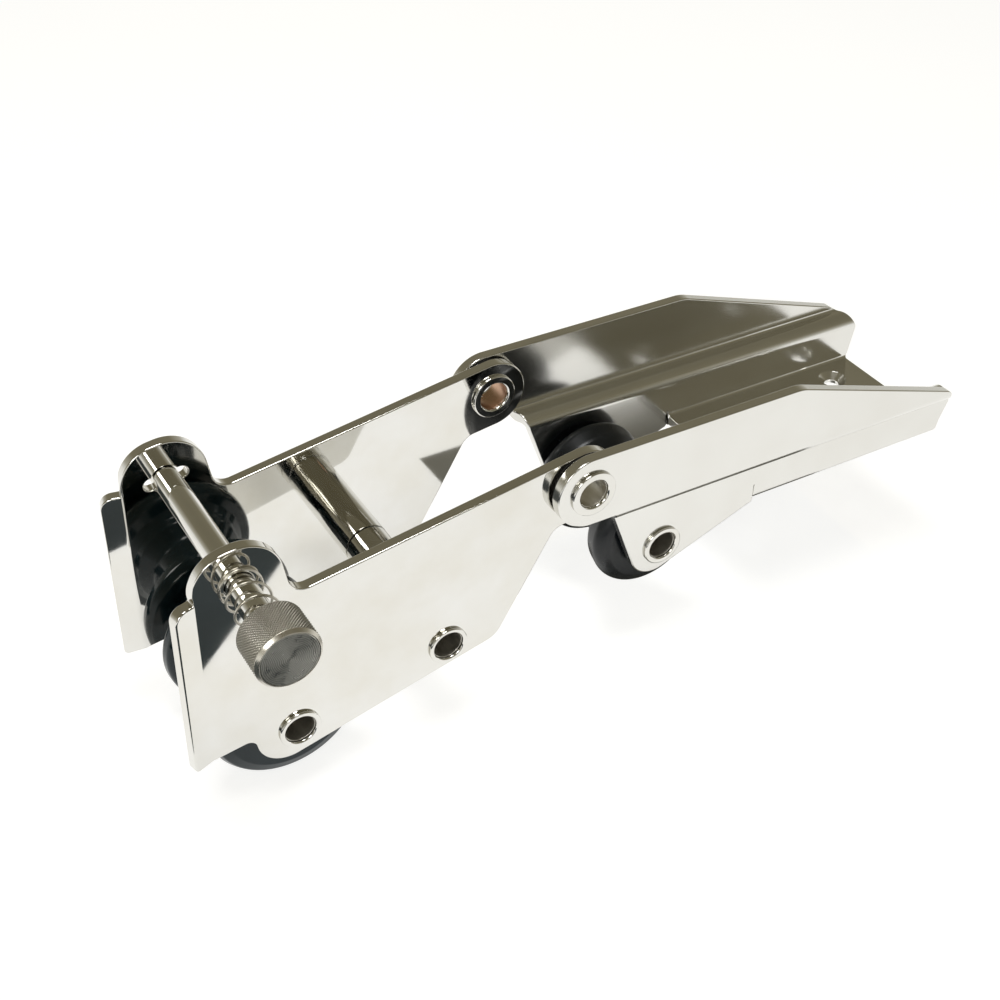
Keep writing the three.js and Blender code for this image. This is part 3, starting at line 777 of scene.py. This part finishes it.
def roller(name, flank, centre, **use):
    """An hourglass roller; the flank is its outline from the waist to the bore on one side."""
    loop = rounded(flank + [(r, -y, f) for r, y, f in reversed(flank)], 6)
    lathe(name, loop, centre, 160, **use)


FRONT_FLANK = [
    (14.9, 0.8, 0.5), (15.0, 4.2, 2.5), (19.3, 8.6, 1.0), (19.9, 11.4, 1.2), (22.2, 13.6, 1.0),
    (26.4, 15.4, 2.4), (26.9, 19.6, 3.0), (25.2, 22.2, 1.6), (21.8, FRONT_HALF, 1.6), (BORE, FRONT_HALF, 0.4),
]
DECK_FLANK = [
    (13.9, 0.6, 0.4), (14.2, 5.0, 4.0), (20.6, 12.6, 4.0), (22.4, 20.4, 4.2),
    (17.6, DECK_HALF, 1.6), (BORE, DECK_HALF, 0.4),
]
roller("roller_front", FRONT_FLANK, FRONT_ROLLER, body="front_roller", nodes=["front_roller"],
       material=GLOSSY, cradle=True)
roller("roller_deck", DECK_FLANK, DECK_ROLLER, body="deck_roller", nodes=["deck_roller"], material=MATTE)
ring("bush_front", FRONT_ROLLER, BUSH_IN, BUSH_OUT, -FRONT_HALF, FRONT_HALF,
     body="front_roller", nodes=["front_roller_bush"], material=BRONZE, cradle=True)
ring("bush_deck", DECK_ROLLER, BUSH_IN, BUSH_OUT, -DECK_HALF, DECK_HALF,
     body="deck_roller", nodes=["deck_roller_bush"], material=BRONZE)

# ---------- locking pin, spring, knob ----------
CROSS_R = 1.6
CROSS_LENGTH = 13.6
CROSS_Y = -(CRADLE_Y + CLEAR + CROSS_R)
PIN_TIP = CROSS_Y - 3.4
KNOB_BACK = 50.7
KNOB_END = 66.2
KNOB_R = 10.4
KNOB_SEAT = KNOB_BACK + 3      # how deep the pin goes into the knob
SHARP = 0.001                  # radius of corners on an axis, which stay points
KNURL_TEETH = 66
KNURL_PITCH = 0.98
KNURL_FROM = KNOB_BACK + 2.0
KNURL_TO = KNOB_END - 1.1
KNURL_DEPTH = 0.45
RIM_FOOT = KNOB_END - 1.3      # where the grip ends and the smooth rim starts
FACE_EDGE = 9.0                # outer radius of the knob's turned face
FACE_BACK = KNOB_END - 0.5
TOOL_PITCH = 0.28
TOOL_DEPTH = 0.05
PIN_USE = dict(body="locking_pin", cradle=True)
pin_loop = [(0, PIN_TIP, SHARP), (PIN_R, PIN_TIP, 1.0), (PIN_R, KNOB_SEAT, 0.2), (0, KNOB_SEAT, SHARP)]
lathe("pin", rounded(pin_loop, 12), PIN, nodes=["lock_pin"], material=STEEL, **PIN_USE)


def knurl(a, r, y):
    """Two sets of crossing grooves, cut only where the knob is full size."""
    if not KNURL_FROM < y < KNURL_TO or r < KNOB_R - 0.2:
        return 0
    along = (y - KNOB_BACK) / KNURL_PITCH
    around = a * KNURL_TEETH / (2 * math.pi)
    ridge = max(abs(t % 1 - 0.5) * 2 for t in (around + along, around - along))
    return -KNURL_DEPTH * ridge ** 2.2


def knob():
    """Three pieces: the knurled grip, the smooth rim round its end and the turned face inside the rim."""
    bore, cap = PIN_R - 0.2, FACE_BACK - 0.1
    grip = [(bore, KNOB_SEAT), (bore, KNOB_BACK + 0.2), (PIN_R, KNOB_BACK), (KNOB_R - 2.5, KNOB_BACK),
            (KNOB_R - 2.2, KNOB_BACK + 0.15), (KNOB_R - 0.15, KNURL_FROM)]
    grip += [(KNOB_R, y) for y in np.arange(KNURL_FROM + 0.1, RIM_FOOT - 0.1, 0.14)]
    grip += [(KNOB_R - 0.1, RIM_FOOT), (FACE_EDGE, RIM_FOOT), (FACE_EDGE, cap), (bore, cap)]
    lathe("knob_grip", grip, PIN, 10 * KNURL_TEETH, ripple=knurl, custom=False,
          nodes=["lock_knob"], material=KNURLED_SHADED, **PIN_USE)
    inner, foot = FACE_EDGE + 0.1, RIM_FOOT + 0.02
    rim = rounded([(inner, foot, 0.05), (KNOB_R - 0.1, foot, 0.1), (KNOB_R - 0.12, RIM_FOOT + 0.3, 0.2),
                   (inner + 0.25, KNOB_END, 0.25), (inner, KNOB_END, 0.05)], 12)
    lathe("knob_rim", rim, PIN, 160, nodes=[], material=BARE, **PIN_USE)
    grooves = enumerate(np.arange(FACE_EDGE, 0.4, -TOOL_PITCH))
    marks = [(r, KNOB_END - TOOL_DEPTH * (1 + k % 2)) for k, r in grooves]
    face = [(0, FACE_BACK), (FACE_EDGE + 0.08, FACE_BACK)] + marks + [(0, KNOB_END - TOOL_DEPTH)]
    lathe("knob_face", face, PIN, 128, custom=False, nodes=[], material=FACE, **PIN_USE)


knob()


def bar(name, length, radius, centre, **use):
    """A round bar along the cradle's own Z."""
    half, soft = length / 2, 0.45
    corners = [(0, -half, SHARP), (radius, -half, soft), (radius, half, soft), (0, half, SHARP)]
    loop = ccw(rounded(corners, 12))
    segments = 32
    flat = outward(loop)
    verts, normals = [], []
    for (r, h), (nr, nh) in zip(loop, flat):
        for k in range(segments):
            a = 2 * math.pi * k / segments
            verts.append((centre[0] + r * math.cos(a), centre[1] + r * math.sin(a), centre[2] + h))
            normals.append((nr * math.cos(a), nr * math.sin(a), nh))
    make(name, verts, band(len(loop), segments), normals, **use)


bar("cross_pin", CROSS_LENGTH, CROSS_R, (PIN[0], CROSS_Y, PIN[1]),
    nodes=["lock_cross_pin"], material=BARE, **PIN_USE)

SPRING_R = 6.4
WIRE = 0.42
SPRING_START = math.radians(-80)
COILS = 3.35
SPRING_END = KNOB_BACK - CLEAR


def spring_rise(turn):
    """Flat on the ear for half a turn, then an even climb to the knob."""
    flat, ease = 0.45, 0.15
    steady = COILS - flat - ease / 2
    if turn < flat:
        return 0.0
    if turn < flat + ease:
        return (turn - flat) ** 2 / (2 * ease) / steady
    return (turn - flat - ease / 2) / steady


def spring():
    """Round wire; the first coil lies on the ear and the last ones are open."""
    foot, end = CRADLE_Y + WIRE, SPRING_END - WIRE
    steps, sides = 260, 12
    verts, normals = [], []
    for i in range(steps + 1):
        t = i / steps
        a = SPRING_START + 2 * math.pi * COILS * t
        y = foot + (end - foot) * spring_rise(t * COILS)
        out = np.array((math.cos(a), 0, math.sin(a)))
        centre = np.array((PIN[0], y, PIN[1])) + SPRING_R * out
        for k in range(sides):
            b = 2 * math.pi * k / sides
            d = math.cos(b) * out + math.sin(b) * np.array((0, 1, 0))
            verts.append(centre + WIRE * d)
            normals.append(d)
    faces = band(steps + 1, sides)
    faces.append(tuple(range(sides)))
    faces.append(tuple(reversed(range(steps * sides, (steps + 1) * sides))))
    piece = make("spring", verts, faces, normals,
                 body="pin_spring", nodes=["lock_spring"], material=BARE, cradle=True)
    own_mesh(piece)


spring()

# ---------- floor, light, camera: metres ----------
FLOOR_Z = -0.0515              # just under the rollers
FLOOR_HALF = 3.0
CARD_Z = -0.0508
REFLECTION_CARD_TURN = math.atan2(0.763, 0.646)      # the way out to the card that paints a dark reflection, seen from above
REFLECTION_CARD_REACH = 0.225                        # and how far that card's near edge is from the origin
REFLECTION_CARD_SIZE = (0.32, 0.6)                       # size of that card, which starts at that edge
PAINTED_SHADOW_SIZE = (0.13, 0.094)                      # size and middle of the card under the channel, a painted shadow: the shade under the object, seen only mirrored in the steel
PAINTED_SHADOW_MIDDLE = (0.04, 0.009)
SKY = [                        # colour by the height of a direction, from the horizon to straight up
    (0.0, (0.80, 0.80, 0.76)), (0.14, (0.46, 0.44, 0.37)),
    (0.42, (0.21, 0.19, 0.13)), (1.0, (0.16, 0.145, 0.10)),
]
EYE = Vector((0.3531, 0.3514, 0.3348))     # where the camera stands, then its three directions
RIGHT = Vector((-0.85943, 0.51034, 0.03041))
DOWN = Vector((0.29262, 0.53981, -0.78929))
AHEAD = Vector((-0.41922, -0.66944, -0.61327))


def stage_card(name, half_x, half_y, z):
    """A flat rectangle round the origin at height z, with a new node material."""
    mesh = bpy.data.meshes.new(name)
    corners = [(x * half_x, y * half_y, z) for x, y in ((-1, -1), (1, -1), (1, 1), (-1, 1))]
    mesh.from_pydata(corners, [], [(0, 1, 2, 3)])
    card = bpy.data.objects.new(name, mesh)
    bpy.context.scene.collection.objects.link(card)
    m, nodes, links, shader = nodes_of(name)
    shader.inputs["Roughness"].default_value = 0.9
    mesh.materials.append(m)
    return card, nodes, links, shader


def floor():
    """White studio paper that gives off some light of its own, so that it stays even."""
    plane, nodes, links, shader = stage_card("floor", FLOOR_HALF, FLOOR_HALF, FLOOR_Z)
    tone = spread(nodes, links, noise(nodes, links, 3, 2), 0, 1)
    links.new(blend_colours(nodes, links, tone, (0.46, 0.46, 0.46), (0.44, 0.44, 0.44)),
              shader.inputs["Base Color"])
    shader.inputs["Specular IOR Level"].default_value = 0.1
    shader.inputs["Emission Color"].default_value = (1, 1, 0.99, 1)
    shader.inputs["Emission Strength"].default_value = 0.78


def dark_card(name, middle, size, turn, tone):
    """A dark card on the floor that is only seen mirrored in the steel, where it paints dark reflections and
    shade; it casts no shadow.
    """
    card, nodes, links, shader = stage_card(name, size[0] / 2, size[1] / 2, 0)
    card.location = (*middle, CARD_Z)
    card.rotation_euler = (0, 0, turn)
    mottle = spread(nodes, links, noise(nodes, links, 9, 3), 0, 1)
    links.new(blend_colours(nodes, links, mottle, tone, [0.6 * c for c in tone]), shader.inputs["Base Color"])
    card.visible_camera = False
    card.visible_shadow = False


def world():
    """A soft sky: bright at the horizon and dim overhead."""
    w = bpy.data.worlds.new("studio")
    bpy.context.scene.world = w
    w.use_nodes = True
    nodes, links = w.node_tree.nodes, w.node_tree.links
    where = nodes.new("ShaderNodeTexCoord")
    split = nodes.new("ShaderNodeSeparateXYZ")
    ramp = nodes.new("ShaderNodeValToRGB")
    links.new(where.outputs["Generated"], split.inputs["Vector"])
    links.new(split.outputs["Z"], ramp.inputs["Fac"])
    stops = ramp.color_ramp.elements
    stops.remove(stops[1])
    for k, (height, colour) in enumerate(SKY):
        stop = stops.new(height) if k else stops[0]
        stop.color = (*colour, 1)
    links.new(ramp.outputs["Color"], nodes["Background"].inputs["Color"])
    nodes["Background"].inputs["Strength"].default_value = 1.0


def area(name, place, target, size, power):
    """A rectangular lamp at place that faces target."""
    light = bpy.data.lights.new(name, "AREA")
    light.shape = "RECTANGLE"
    light.size, light.size_y = size
    light.energy = power
    lamp = bpy.data.objects.new(name, light)
    lamp.location = place
    lamp.rotation_euler = (Vector(target) - Vector(place)).to_track_quat("-Z", "Y").to_euler()
    bpy.context.scene.collection.objects.link(lamp)


def camera():
    """The camera at EYE, which looks along AHEAD."""
    data = bpy.data.cameras.new("camera")
    data.lens = 54.96
    data.sensor_width = 36
    data.clip_start = 0.01
    cam = bpy.data.objects.new("camera", data)
    cam.matrix_world = Matrix.Translation(EYE) @ Matrix((RIGHT, -DOWN, -AHEAD)).transposed().to_4x4()
    bpy.context.scene.collection.objects.link(cam)
    bpy.context.scene.camera = cam


floor()
# painted reflection: a dark card, hidden from the camera, that shows only mirrored in the steel as a dark
# patch
to_reflection_card = REFLECTION_CARD_REACH + REFLECTION_CARD_SIZE[0] / 2
dark_card("painted_reflection_card", (to_reflection_card * math.cos(REFLECTION_CARD_TURN), to_reflection_card * math.sin(REFLECTION_CARD_TURN)), REFLECTION_CARD_SIZE,
          REFLECTION_CARD_TURN, (0.045, 0.06, 0.07))
# painted shadow: a dark card under the object that puts its shade into the reflections in the steel
dark_card("painted_shadow_below", PAINTED_SHADOW_MIDDLE, PAINTED_SHADOW_SIZE, 0, (0.27, 0.265, 0.235))
world()
area("overhead", (0.25, 0.1, 1.1), (0.08, 0, 0), (0.5, 0.35), 6)
area("front", (1.0, 0.9, 0.7), (0.1, 0, 0), (0.5, 0.4), 5)
camera()
bpy.context.scene.view_settings.view_transform = "Standard"
